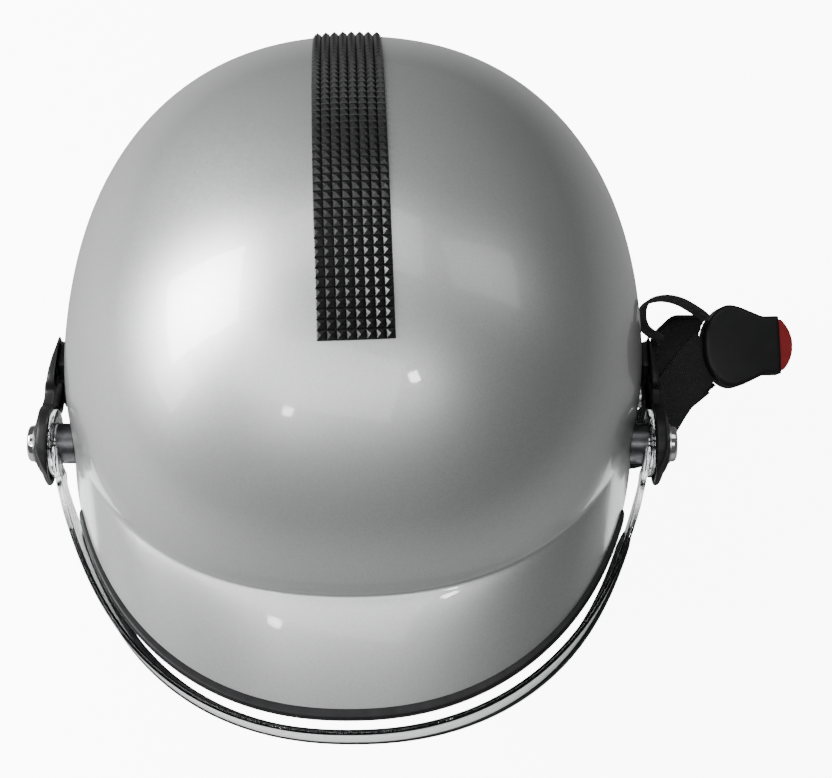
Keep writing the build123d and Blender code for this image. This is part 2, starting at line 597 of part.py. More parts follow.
def build():
    shell = make_shell()
    PARTS["outer_shell"] = shell
    PARTS["rim_trim"] = make_rim_trim(shell)
    PARTS["brim_trim"] = make_brim_trim(shell)
    PARTS["crown_stripe"] = make_stripe()
    PARTS["eps_liner"] = make_liner()
    PARTS.update(make_pads())

    shield = make_visor()
    PARTS["visor_shield"] = shield
    PARTS["visor_edge_trim"] = make_visor_trim(shield)
    add_pair("side_plate", make_side_plate())
    add_pair("pivot_spacer", make_spacer(shell))
    add_pair("pivot_screw", make_screw())
    add_pair("pivot_washer", make_washer())
    add_pair("pivot_tnut", make_tnut())

    add_pair("strap_hanger", make_hanger())
    add_pair("strap_rivet", make_rivet(shell))
    PARTS["chin_strap_left"] = make_chin_strap_left()
    clearance = extrude(buckle_outline(0.3), amount=BUCKLE_HALF_THICKNESS + 0.3, both=True)
    PARTS["ear_flap_left"] = biggest(flap_solid(strap_plane()) - buckle_plane() * clearance)
    PARTS["strap_tail"] = make_strap_tail()
    PARTS["chin_strap_right"] = make_chin_strap_right()
    PARTS["ear_flap_right"] = flap_solid(hanging_plane())
    PARTS["strap_slider"] = make_slider()
    PARTS["tongue_grip"], PARTS["buckle_tongue"] = make_tongue_pieces()

    buckle = buckle_plane()
    housing, cover = make_buckle_shells()
    pin = Pos(LATCH_PIN_X, 0, LATCH_PIN_Z) * Rot(90, 0, 0) * Cylinder(1.0, 2 * CAVITY_HALF_WIDTH + 2)
    pieces = {
        "buckle_housing": housing, "buckle_cover": cover, "buckle_button": make_button(),
        "buckle_latch": make_latch(), "buckle_latch_pin": pin, "buckle_springs": make_springs(),
    }
    for name, piece in pieces.items():
        PARTS[name] = buckle * piece


build()
os.makedirs("parts", exist_ok=True)
for node, piece in PARTS.items():
    export_step(piece, f"parts/{node}.step")
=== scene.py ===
import json
import math

import bmesh
import bpy
import numpy as np
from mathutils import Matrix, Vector


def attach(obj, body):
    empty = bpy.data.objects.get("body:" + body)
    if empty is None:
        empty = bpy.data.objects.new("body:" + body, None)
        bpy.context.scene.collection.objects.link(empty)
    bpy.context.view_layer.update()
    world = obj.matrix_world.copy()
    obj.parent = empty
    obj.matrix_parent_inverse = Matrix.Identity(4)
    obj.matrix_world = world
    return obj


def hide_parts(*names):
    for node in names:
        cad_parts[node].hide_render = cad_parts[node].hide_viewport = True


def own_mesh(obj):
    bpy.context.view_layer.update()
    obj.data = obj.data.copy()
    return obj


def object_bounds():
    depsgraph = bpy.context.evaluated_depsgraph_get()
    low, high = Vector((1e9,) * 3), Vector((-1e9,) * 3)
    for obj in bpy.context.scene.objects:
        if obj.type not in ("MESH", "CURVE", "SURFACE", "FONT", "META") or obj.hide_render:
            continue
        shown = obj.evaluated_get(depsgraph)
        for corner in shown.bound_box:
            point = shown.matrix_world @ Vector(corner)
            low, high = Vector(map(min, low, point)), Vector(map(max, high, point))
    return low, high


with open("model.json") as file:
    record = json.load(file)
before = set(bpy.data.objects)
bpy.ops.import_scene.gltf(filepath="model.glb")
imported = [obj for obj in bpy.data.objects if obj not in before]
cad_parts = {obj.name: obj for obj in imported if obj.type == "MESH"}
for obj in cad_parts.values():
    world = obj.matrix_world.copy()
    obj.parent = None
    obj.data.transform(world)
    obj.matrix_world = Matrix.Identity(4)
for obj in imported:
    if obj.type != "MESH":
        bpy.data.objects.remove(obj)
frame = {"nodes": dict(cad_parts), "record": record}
CAD_BOX = [list(corner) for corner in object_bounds()]
MM = 0.001

# Sizes in millimetres, the same as in the CAD source.
SHELL_HALF_WIDTH, SHELL_FRONT, SHELL_REAR = 120.0, 126.4, 143.7
DOME_BASE_Z, DOME_RISE, DOME_POWER, PLAN_POWER = 40.7, 110.2, 1.9, 2.3
SKIRT_TUCK, WALL = 0.022, 3.5
RIM_CURVE = [(-85, 43.5), (-70, 36), (-58, 30), (-46, 25.5), (-25, 10.5), (-8, 2.5), (8, 0)]
CREASE_Z, PEAK_HALF_WIDTH, PEAK_DEPTH, PEAK_CENTRE_Y = 47.0, 116.0, 139.5, -24.0
PEAK_POWER, PEAK_TIP_Z, PEAK_EDGE_SLOPE, PEAK_THICKNESS = 2.2, 18.0, 0.08, 3.0
PEAK_END_ANGLE, LINING_EDGE_Z = 79.0, 43.5
STRIPE_WIDTH, STRIPE_FRONT_Y, STRIPE_REAR_Z = 28.7, -68.0, 52.0
STRIPE_SKEW, STRIPE_OFFSET = 2.5, 1.4
STUD_PITCH, STUD_COLUMNS, STUD_HEIGHT, STUD_BASE = 3.94, 8, 1.75, 0.25
STRIPE_CENTRE_Y, STRIPE_CENTRE_Z = 10.0, 60.0
PIVOT_Y, PIVOT_Z = -48.5, 34.0
VISOR_HALF_WIDTH, VISOR_TAPER, VISOR_POWER, VISOR_CENTRE_Y = 123.6, 0.07, 2.2, -18.0
VISOR_TOP, VISOR_LOW, VISOR_BOW, VISOR_THICKNESS = (-167.8, 12.0), (-144.0, -45.0), 2.0, 2.2
VISOR_TOP_CURVE = [(-180, 12), (-130, 14.5), (-100, 22), (-78, 35), (-66, 45), (-58, 44.4)]
VISOR_LOW_CURVE = [(-180, -45), (-140, -45), (-108, -38.5), (-86, -24), (-72, -2), (-64, 22), (-58, 23.6)]
EAR_RADIUS, EAR_BORE, EAR_INNER_X, EAR_OUTER_X = 14.0, 4.1, 120.7, 122.7
PLATE_INNER_X, PLATE_OUTER_X = 122.9, 129.2
PLATE_CROWN = [(-66, 123.2), (-63, 125.2), (-58, 127.6), (-50, 128.6), (-40, 128.4), (-31, 127.4),
               (-24, 127.6), (-14, 126.2), (-6, 123.8), (-1, 123.2)]
WEB_WIDTH, WEB_THICKNESS, WEB_LOOP_RADIUS = 20.0, 1.8, 3.2
HANGER_BAR = (110.5, -22.0, -10.5)
SPLAY_ANGLE, SPLAY_ROLL, BUCKLE_TURN = 5.0, 30.0, 5.3
BUCKLE_U, BUCKLE_V = 49.3, 47.4
GRIP_MIDDLE, GRIP_HALF_LENGTH, GRIP_HALF_WIDTH, GRIP_FACE = 99.0, 9.5, 10.0, 2.6
RIB_PITCH, RIB_DEPTH, RIB_FADE = 3.4, 0.55, 1.5
CLOTH_FRAMES, CLOTH_PRESSURE = 20, 4.0
# Rubber beads: half width along the sides, half height, corner radius.
BRIM_BEAD, RIM_BEAD, VISOR_BEAD = (2.6, 1.85, 1.25), (2.75, 2.2, 1.3), (2.6, 2.3, 1.4)
BRIM_BEAD_INSET, BRIM_BEAD_RISE, RIM_BEAD_INSET, RIM_BEAD_RISE = 1.35, 0.55, 1.7, 0.95
FLAP_OUTLINE = [(15, 2.1), (46.5, 29.6), (50, 33), (50, 61), (42, 60.3), (26.8, 59.9), (19, 52), (14.5, 36)]
TAIL_PATH = [
    (40, 58.5), (36, 61.5), (28, 65.6), (20.4, 66.7), (13.5, 64.5), (11.3, 59.5), (13, 53), (20, 48.5),
]


# ---- Camera and stage ------------------------------------------------------------------
def make_camera():
    """Looks down on the front at 55 degrees, from three quarters of a metre."""
    elevation, distance = math.radians(55), 0.75
    target = Vector((0.02596, -0.04645, 0.070))
    back = Vector((0, -math.cos(elevation), math.sin(elevation)))
    data = bpy.data.cameras.new("camera")
    data.sensor_width = 36.0
    data.lens = 82.1
    data.clip_start = 0.05
    camera = bpy.data.objects.new("camera", data)
    camera.location = target + back * distance
    camera.rotation_euler = (-back).to_track_quat("-Z", "Y").to_euler()
    bpy.context.scene.collection.objects.link(camera)
    bpy.context.scene.camera = camera


def area_light(name, location, target, size, power):
    data = bpy.data.lights.new(name, "AREA")
    data.shape = "RECTANGLE"
    data.size, data.size_y = size
    data.energy = power
    light = bpy.data.objects.new(name, data)
    light.location = location
    direction = Vector(target) - Vector(location)
    light.rotation_euler = direction.to_track_quat("-Z", "Y").to_euler()
    bpy.context.scene.collection.objects.link(light)


def make_lights():
    world = bpy.data.worlds.new("studio")
    world.use_nodes = True
    tree = world.node_tree
    room = tree.nodes["Background"]
    room.inputs["Color"].default_value = (0.84, 0.86, 0.87, 1)
    room.inputs["Strength"].default_value = 0.12
    backdrop = tree.nodes.new("ShaderNodeBackground")
    backdrop.inputs["Color"].default_value = (1, 1, 1, 1)
    backdrop.inputs["Strength"].default_value = 9.0
    path, mix = tree.nodes.new("ShaderNodeLightPath"), tree.nodes.new("ShaderNodeMixShader")
    tree.links.new(path.outputs["Is Camera Ray"], mix.inputs["Fac"])
    tree.links.new(room.outputs["Background"], mix.inputs[1])
    tree.links.new(backdrop.outputs["Background"], mix.inputs[2])
    tree.links.new(mix.outputs["Shader"], tree.nodes["World Output"].inputs["Surface"])
    bpy.context.scene.world = world
    target = (0, -0.02, 0.06)
    area_light("key", (-1.25, 0.05, 1.05), target, (0.75, 0.85), 58)
    area_light("fill", (1.15, 0.30, 1.20), target, (0.5, 0.8), 1.8)
    area_light("overhead", (0.0, 0.35, 1.9), target, (1.6, 0.8), 8)
    area_light("front", (-0.35, -1.05, 1.45), target, (1.6, 0.7), 10)
    area_light("low_left", (-1.35, -0.35, 0.60), target, (0.5, 0.4), 4)
    area_light("ring_left", (-0.42, -1.05, 0.95), target, (0.08, 0.08), 0.9)
    area_light("ring_right", (0.50, -0.95, 1.30), target, (0.10, 0.10), 2.0)


# ---- Materials -------------------------------------------------------------------------
class Nodes:
    """Small wrapper round a material's node tree."""

    def __init__(self, name, **sockets):
        self.material = bpy.data.materials.new(name)
        self.material.use_nodes = True
        self.tree = self.material.node_tree
        self.shader = self.tree.nodes["Principled BSDF"]
        for socket, value in sockets.items():
            self.shader.inputs[socket.replace("_", " ").title().replace("Ior", "IOR")].default_value = value
        self.space = self.new("ShaderNodeTexCoord").outputs["Object"]

    def new(self, kind, **settings):
        node = self.tree.nodes.new(kind)
        for key, value in settings.items():
            setattr(node, key, value)
        return node

    def link(self, a, b):
        self.tree.links.new(a, b)

    def noise(self, scale, detail=3.0, roughness=0.55, vector=None):
        node = self.new("ShaderNodeTexNoise")
        node.inputs["Scale"].default_value = scale
        node.inputs["Detail"].default_value = detail
        node.inputs["Roughness"].default_value = roughness
        self.link(vector or self.space, node.inputs["Vector"])
        return node.outputs["Fac"]

    def voronoi(self, scale, output="Distance", feature="F1"):
        node = self.new("ShaderNodeTexVoronoi", feature=feature)
        node.inputs["Scale"].default_value = scale
        self.link(self.space, node.inputs["Vector"])
        return node.outputs[output]

    def wave(self, scale, direction, distortion):
        node = self.new("ShaderNodeTexWave", bands_direction=direction)
        node.inputs["Scale"].default_value = scale
        node.inputs["Distortion"].default_value = distortion
        self.link(self.space, node.inputs["Vector"])
        return node.outputs["Fac"]

    def stretched(self, scale):
        node = self.new("ShaderNodeMapping")
        node.inputs["Scale"].default_value = scale
        self.link(self.space, node.inputs["Vector"])
        return node.outputs["Vector"]

    def uv(self):
        return self.new("ShaderNodeTexCoord").outputs["UV"]

    def math(self, operation, a, b=0.5):
        node = self.new("ShaderNodeMath", operation=operation)
        for socket, value in zip(node.inputs, (a, b)):
            if isinstance(value, (int, float)):
                socket.default_value = value
            else:
                self.link(value, socket)
        return node.outputs["Value"]

    def ramp(self, factor, stops):
        node = self.new("ShaderNodeValToRGB")
        ramp = node.color_ramp
        while len(ramp.elements) < len(stops):
            ramp.elements.new(0.5)
        for element, (place, colour) in zip(ramp.elements, stops):
            element.position = place
            element.color = (*colour, 1) if len(colour) == 3 else colour
        self.link(factor, node.inputs["Fac"])
        return node.outputs["Color"]

    def colour(self, factor, low, high, start=0.3, end=0.7):
        self.link(self.ramp(factor, [(start, low), (end, high)]), self.shader.inputs["Base Color"])

    def rough(self, factor, low, high):
        node = self.new("ShaderNodeMapRange")
        node.inputs["To Min"].default_value = low
        node.inputs["To Max"].default_value = high
        self.link(factor, node.inputs["Value"])
        self.link(node.outputs["Result"], self.shader.inputs["Roughness"])

    def bump(self, height, depth_mm, strength=1.0, socket="Normal", after=None):
        node = self.new("ShaderNodeBump")
        node.inputs["Strength"].default_value = strength
        node.inputs["Distance"].default_value = depth_mm * MM
        self.link(height, node.inputs["Height"])
        if after is not None:
            self.link(after, node.inputs["Normal"])
        self.link(node.outputs["Normal"], self.shader.inputs[socket])
        return node.outputs["Normal"]


def silver_paint():
    """Metallic paint: fine flakes under a smooth clear coat with a little orange peel."""
    n = Nodes("silver_paint", metallic=0.82, roughness=0.40, coat_weight=0.75, coat_roughness=0.05)
    flake = n.voronoi(3200, "Color")
    shade = n.new("ShaderNodeSeparateColor")
    n.link(flake, shade.inputs["Color"])
    cloud = n.noise(9, 2)
    total = n.math("ADD", n.math("MULTIPLY", shade.outputs["Red"], 0.35), n.math("MULTIPLY", cloud, 0.65))
    n.colour(total, (0.52, 0.53, 0.525), (0.64, 0.65, 0.645), 0.25, 0.75)
    n.rough(n.noise(600, 2), 0.36, 0.44)
    n.bump(shade.outputs["Green"], 0.01, 0.25)
    n.bump(n.noise(260, 1), 0.012, 0.25, "Coat Normal")
    return n.material


def black_rubber():
    n = Nodes("black_rubber", roughness=0.45, specular_ior_level=0.25)
    n.colour(n.noise(140, 4), (0.004, 0.004, 0.0045), (0.012, 0.012, 0.013))
    n.rough(n.noise(420, 3), 0.36, 0.56)
    n.bump(n.noise(1500, 3), 0.05, 0.5)
    return n.material


def stud_rubber():
    """Glossy moulded rubber with a fine uneven sheen."""
    n = Nodes("stud_rubber", roughness=0.28, specular_ior_level=0.4)
    n.colour(n.noise(900, 4), (0.004, 0.004, 0.004), (0.016, 0.016, 0.017))
    n.rough(n.noise(700, 3), 0.22, 0.42)
    n.bump(n.noise(2600, 2), 0.04, 0.35)
    return n.material


def eps_foam():
    """Expanded beads pressed together, 3 to 4 mm across."""
    n = Nodes("eps_foam", roughness=0.72)
    edge = n.voronoi(300, "Distance", "DISTANCE_TO_EDGE")
    bead = n.voronoi(300, "Color")
    shade = n.new("ShaderNodeSeparateColor")
    n.link(bead, shade.inputs["Color"])
    n.colour(shade.outputs["Red"], (0.030, 0.031, 0.034), (0.065, 0.066, 0.070), 0.1, 0.9)
    n.rough(shade.outputs["Green"], 0.62, 0.82)
    dome = n.ramp(edge, [(0.0, (0, 0, 0)), (0.25, (1, 1, 1))])
    n.bump(dome, 0.35, 0.7)
    return n.material


def lining_fabric():
    """Soft knitted lining with a low pile."""
    n = Nodes("lining_fabric", roughness=0.92, sheen_weight=0.35, sheen_roughness=0.5)
    rows = n.wave(340, "DIAGONAL", 1.5)
    loops = n.voronoi(900)
    height = n.math("ADD", n.math("MULTIPLY", rows, 0.5), loops)
    n.colour(n.noise(60, 4), (0.016, 0.016, 0.018), (0.042, 0.042, 0.046))
    n.rough(loops, 0.85, 1.0)
    n.bump(height, 0.35, 0.8)
    return n.material


def webbing_cloth():
    """Nylon webbing: chevron ribs along its length, crossed by the weft, with painted shade darkening the
    dips between threads.
    """
    n = Nodes("webbing_cloth", roughness=0.7, sheen_weight=0.15, sheen_roughness=0.4)
    uv = n.uv()
    split = n.new("ShaderNodeSeparateXYZ")
    n.link(uv, split.inputs["Vector"])
    folded = n.math("PINGPONG", split.outputs["X"], 0.005)
    weft = n.math("SINE", n.math("MULTIPLY", n.math("ADD", split.outputs["Y"], folded), 5200.0))
    warp = n.math("SINE", n.math("MULTIPLY", split.outputs["X"], 7600.0))
    height = n.math("ADD", n.math("MULTIPLY", weft, 0.35), n.math("MULTIPLY", warp, 0.25))
    lifted = n.math("ADD", height, 0.5)
    # Painted shade: the colour follows the weave's height, darker in the dips and lighter on the raised
    # threads.
    n.colour(lifted, (0.003, 0.003, 0.0035), (0.016, 0.016, 0.018), 0.1, 0.9)
    n.rough(n.noise(300, 3), 0.6, 0.85)
    n.bump(lifted, 0.30, 0.9)
    return n.material


def flap_leatherette():
    n = Nodes("flap_leatherette", roughness=0.55, specular_ior_level=0.25)
    grain = n.voronoi(900, "Distance", "DISTANCE_TO_EDGE")
    pebble = n.ramp(grain, [(0.0, (0, 0, 0)), (0.22, (1, 1, 1))])
    n.colour(n.noise(90, 4), (0.004, 0.004, 0.0045), (0.013, 0.013, 0.014))
    n.rough(n.noise(500, 3), 0.45, 0.7)
    n.bump(pebble, 0.18, 0.6)
    return n.material


def black_plastic():
    """Moulded plastic with a fine spark-eroded texture."""
    n = Nodes("black_plastic", roughness=0.45, specular_ior_level=0.3)
    n.colour(n.noise(60, 4), (0.004, 0.004, 0.0045), (0.010, 0.010, 0.011))
    n.rough(n.noise(300, 3), 0.38, 0.52)
    n.bump(n.noise(2200, 3), 0.05, 0.55)
    return n.material


def red_plastic():
    n = Nodes("red_plastic", roughness=0.32, coat_weight=0.2, coat_roughness=0.15)
    n.colour(n.noise(80, 3), (0.17, 0.003, 0.005), (0.26, 0.006, 0.009))
    n.rough(n.noise(420, 3), 0.26, 0.42)
    n.bump(n.noise(1300, 2), 0.03, 0.35)
    return n.material


def turned_metal(name, low, high, roughness):
    """Metal with fine tool marks running round the part."""
    n = Nodes(name, metallic=1.0, roughness=roughness)
    marks = n.noise(5200, 3, vector=n.stretched((0.02, 1, 1)))
    n.colour(n.noise(200, 3), low, high)
    n.rough(marks, roughness * 0.75, roughness * 1.3)
    n.bump(marks, 0.02, 0.3)
    return n.material


def clear_visor():
    """Clear polycarbonate that lets lamp light through, with faint hairline scratches."""
    tint = (0.93, 0.95, 0.95, 1)
    n = Nodes("clear_visor", transmission_weight=1.0, roughness=0.02, ior=1.52, base_color=tint)
    scratch = n.noise(900, 2, vector=n.stretched((1, 1, 0.02)))
    n.rough(scratch, 0.0, 0.02)
    n.bump(n.noise(18, 1), 0.02, 0.15)
    path = n.new("ShaderNodeLightPath")
    clear = n.new("ShaderNodeBsdfTransparent")
    clear.inputs["Color"].default_value = (0.86, 0.88, 0.88, 1)
    mix = n.new("ShaderNodeMixShader")
    n.link(path.outputs["Is Shadow Ray"], mix.inputs["Fac"])
    n.link(n.shader.outputs["BSDF"], mix.inputs[1])
    n.link(clear.outputs["BSDF"], mix.inputs[2])
    n.link(mix.outputs["Shader"], n.tree.nodes["Material Output"].inputs["Surface"])
    return n.material


def pale_floor():
    """Matt floor that looks near white itself but throws only a soft light back on the helmet."""
    n = Nodes("pale_floor", roughness=0.8, emission_color=(1, 1, 1, 1))
    n.colour(n.noise(3, 2), (0.88, 0.88, 0.875), (0.92, 0.92, 0.915))
    n.bump(n.noise(90, 2), 0.1, 0.1)
    path = n.new("ShaderNodeLightPath")
    seen = n.math("MAXIMUM", path.outputs["Is Camera Ray"], path.outputs["Is Transmission Ray"])
    dull = n.new("ShaderNodeBsdfDiffuse")
    dull.inputs["Color"].default_value = (0.28, 0.28, 0.28, 1)
    mix = n.new("ShaderNodeMixShader")
    n.link(seen, mix.inputs["Fac"])
    glow = n.math("ADD", n.math("MULTIPLY", path.outputs["Is Camera Ray"], 7.6), 1.4)
    n.link(glow, n.shader.inputs["Emission Strength"])
    n.link(dull.outputs["BSDF"], mix.inputs[1])
    n.link(n.shader.outputs["BSDF"], mix.inputs[2])
    n.link(mix.outputs["Shader"], n.tree.nodes["Material Output"].inputs["Surface"])
    return n.material


MATERIALS = {}


def make_materials():
    steel = ((0.50, 0.50, 0.51), (0.62, 0.62, 0.63), 0.30)
    MATERIALS.update(
        shell_paint=silver_paint(),
        black_rubber=black_rubber(),
        studded_rubber=stud_rubber(),
        eps_foam=eps_foam(),
        lining_fabric=lining_fabric(),
        webbing=webbing_cloth(),
        flap_leatherette=flap_leatherette(),
        black_plastic=black_plastic(),
        red_plastic=red_plastic(),
        grey_metal=turned_metal("grey_metal", (0.07, 0.072, 0.076), (0.12, 0.122, 0.126), 0.34),
        chrome=turned_metal("chrome", (0.78, 0.78, 0.80), (0.86, 0.86, 0.88), 0.09),
        steel=turned_metal("zinc_steel", *steel),
        clear_visor=clear_visor(),
    )


# ---- Mesh helpers ----------------------------------------------------------------------
def finish_piece(obj, body, slot, replaces=(), smooth=True):
    """Gives a new piece its material, body and CAD counterpart."""
    obj.data.materials.clear()
    obj.data.materials.append(MATERIALS[slot])
    if smooth:
        obj.data.shade_smooth()
    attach(obj, body)
    if replaces:
        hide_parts(*replaces)
    return obj


def mesh_object(name, points_mm, faces, uvs=None):
    mesh = bpy.data.meshes.new(name)
    mesh.from_pydata((np.asarray(points_mm, float) * MM).tolist(), [], [list(map(int, f)) for f in faces])
    if uvs is not None:
        layer = mesh.uv_layers.new(name="UVMap")
        corner = np.zeros(len(mesh.loops), int)
        mesh.loops.foreach_get("vertex_index", corner)
        layer.data.foreach_set("uv", (np.asarray(uvs, float)[corner] * MM).ravel())
    mesh.update()
    obj = bpy.data.objects.new(name, mesh)
    bpy.context.scene.collection.objects.link(obj)
    return obj


def grid_faces(rows, columns, close_rows=False, close_columns=False):
    r = np.arange(rows if close_rows else rows - 1)
    c = np.arange(columns if close_columns else columns - 1)
    r, c = np.meshgrid(r, c, indexing="ij")
    r, c = r.ravel(), c.ravel()
    r2, c2 = (r + 1) % rows, (c + 1) % columns
    return np.stack([r * columns + c, r * columns + c2, r2 * columns + c2, r2 * columns + c], 1)


def tube(name, sections, closed=False, uv=None):
    """Skin over a row of closed sections; open runs are capped at both ends."""
    sections = np.asarray(sections, float)
    rows, columns = sections.shape[:2]
    faces = grid_faces(rows, columns, closed, True).tolist()
    if not closed:
        faces.append(list(range(columns))[::-1])
        faces.append([(rows - 1) * columns + k for k in range(columns)])
    uvs = None
    if uv is not None:
        uvs = np.asarray(uv, float).reshape(-1, 2)
    return mesh_object(name, sections.reshape(-1, 3), faces, uvs)


def outward(obj):
    """Turns every face to look outwards."""
    work = bmesh.new()
    work.from_mesh(obj.data)
    bmesh.ops.recalc_face_normals(work, faces=work.faces)
    work.to_mesh(obj.data)
    work.free()
    return obj


def apply_modifiers(obj):
    graph = bpy.context.evaluated_depsgraph_get()
    baked = bpy.data.meshes.new_from_object(obj.evaluated_get(graph))
    obj.modifiers.clear()
    old, obj.data = obj.data, baked
    bpy.data.meshes.remove(old)
    return obj


def rounded_rectangle(half_x, half_y, radius, per_corner=6):
    points = []
    for quarter, (sx, sy) in enumerate(((1, 1), (-1, 1), (-1, -1), (1, -1))):
        for k in range(per_corner + 1):
            a = math.radians(90 * quarter + 90 * k / per_corner)
            points.append((
                sx * (half_x - radius) + radius * math.cos(a), sy * (half_y - radius) + radius * math.sin(a)
            ))
    return np.array(points)


def interpolate(stops, x):
    """Smooth curve through (x, value) stops."""
    xs, ys = np.array(stops, float).T
    slopes = np.gradient(ys, xs)
    slopes[0] = slopes[-1] = 0
    x = np.clip(x, xs[0], xs[-1])
    k = np.clip(np.searchsorted(xs, x) - 1, 0, len(xs) - 2)
    h = xs[k + 1] - xs[k]
    t = (x - xs[k]) / h
    a, b = 2 * t**3 - 3 * t**2 + 1, t**3 - 2 * t**2 + t
    c, d = -2 * t**3 + 3 * t**2, t**3 - t**2
    return a * ys[k] + b * h * slopes[k] + c * ys[k + 1] + d * h * slopes[k + 1]


def smooth_path(points, count):
    """Catmull-Rom curve through the points, evenly resampled."""
    points = np.asarray(points, float)
    padded = np.vstack([2 * points[0] - points[1], points, 2 * points[-1] - points[-2]])
    fine = []
    for k in range(len(points) - 1):
        p0, p1, p2, p3 = padded[k:k + 4]
        t = np.linspace(0, 1, 24, endpoint=k == len(points) - 2)[:, None]
        fine.append(0.5 * (2 * p1 + (p2 - p0) * t + (2 * p0 - 5 * p1 + 4 * p2 - p3) * t**2
                           + (3 * p1 - p0 - 3 * p2 + p3) * t**3))
    return resample(np.vstack(fine), count)


def arc_lengths(points):
    return np.concatenate([[0], np.cumsum(np.linalg.norm(np.diff(points, axis=0), axis=1))])


def resample(points, count):
    along = arc_lengths(points)
    wanted = np.linspace(0, along[-1], count)
    return np.stack([np.interp(wanted, along, points[:, k]) for k in range(points.shape[1])], 1)


# ---- Dome geometry ---------------------------------------------------------------------
def plan_reach(bearing, half_width, front, rear):
    """Distance from the axis to a rounded outline; bearing 0 is the front, in radians."""
    across, along = np.sin(bearing), -np.cos(bearing)
    depth = np.where(along < 0, front, rear)
    sides = np.abs(across / half_width) ** PLAN_POWER + np.abs(along / depth) ** PLAN_POWER
    return sides ** (-1 / PLAN_POWER)


def smooth_reach():
    """The shell's widest outline with its four flat spots evened out."""
    bearings = np.linspace(-np.pi, np.pi, 721)[:-1]
    reach = plan_reach(bearings, SHELL_HALF_WIDTH, SHELL_FRONT, SHELL_REAR)
    kernel = np.exp(-0.5 * (np.arange(-40, 41) / 13.0) ** 2)
    wrapped = np.concatenate([reach[-40:], reach, reach[:40]])
    smoothed = np.convolve(wrapped, kernel / kernel.sum(), "valid")
    return np.append(bearings, np.pi), np.append(smoothed, smoothed[0])


REACH_BEARINGS, REACH_VALUES = smooth_reach()


def dome_reach(bearing):
    wrapped = (np.asarray(bearing) + np.pi) % (2 * np.pi) - np.pi
    return np.interp(wrapped, REACH_BEARINGS, REACH_VALUES)


def dome_scale(z):
    """How wide the dome is at a level, as a share of its widest outline."""
    height = np.clip((z - DOME_BASE_Z) / DOME_RISE, 0, 1)
    upper = np.maximum(1 - height ** DOME_POWER, 0) ** (1 / DOME_POWER)
    drop = np.clip((DOME_BASE_Z - z) / DOME_BASE_Z, 0, None)
    return np.where(z > DOME_BASE_Z, upper, 1 - SKIRT_TUCK * drop**2)


def dome_profile(low_z, inset=0.0, crown_inset=None, count=260):
    """Upright profile from the crown to a level: scale of the outline and height."""
    rise = DOME_RISE - (inset if crown_inset is None else crown_inset)
    angles = np.linspace(np.pi / 2, 0, count)
    scale, z = np.cos(angles) ** (2 / DOME_POWER), DOME_BASE_Z + rise * np.sin(angles) ** (2 / DOME_POWER)
    scale[0] = 0
    if low_z < DOME_BASE_Z:
        skirt = np.linspace(DOME_BASE_Z, low_z, 60)[1:]
        scale, z = np.append(scale, dome_scale(skirt)), np.append(z, skirt)
    return scale, z


def rim_z(y):
    return interpolate(RIM_CURVE, np.asarray(y, float))


def peak_edge(degrees):
    """Point of the peak's edge and its height."""
    a = np.radians(degrees)
    across, along = np.sin(a), -np.cos(a)
    reach = (np.abs(across / PEAK_HALF_WIDTH) ** PEAK_POWER + np.abs(along / PEAK_DEPTH) ** PEAK_POWER)
    reach = reach ** (-1 / PEAK_POWER)
    x, y = reach * across, PEAK_CENTRE_Y + reach * along
    z = PEAK_TIP_Z + PEAK_EDGE_SLOPE * (y - PEAK_CENTRE_Y + PEAK_DEPTH)
    return x, y, z


def shell_columns():
    """Bearing, reach of the edge and height of the edge for every upright section of the shell."""
    x, y, z = peak_edge(np.linspace(-PEAK_END_ANGLE, PEAK_END_ANGLE, 181))
    bearing, reach = np.arctan2(x, -y), np.hypot(x, y)
    rest = np.linspace(bearing[-1], 2 * np.pi + bearing[0], 190)[1:-1]
    rest_y = -np.cos(rest) * dome_reach(rest)
    rest_z = rim_z(rest_y)
    rest_reach = dome_reach(rest) * dome_scale(rest_z)
    bearing, reach, z = (np.concatenate(pair) for pair in ((bearing, rest), (reach, rest_reach), (z, rest_z)))
    for _ in range(6):
        z[170:] = (np.roll(z, 1) + 2 * z + np.roll(z, -1))[170:] / 4
        z[:11] = (np.roll(z, 1) + 2 * z + np.roll(z, -1))[:11] / 4
    return bearing, reach, z


def crowded(count, growth):
    """Shares from 0 to 1, closest together near 0."""
    k = np.linspace(0, 1, count)
    return (np.exp(growth * k) - 1) / (math.exp(growth) - 1)


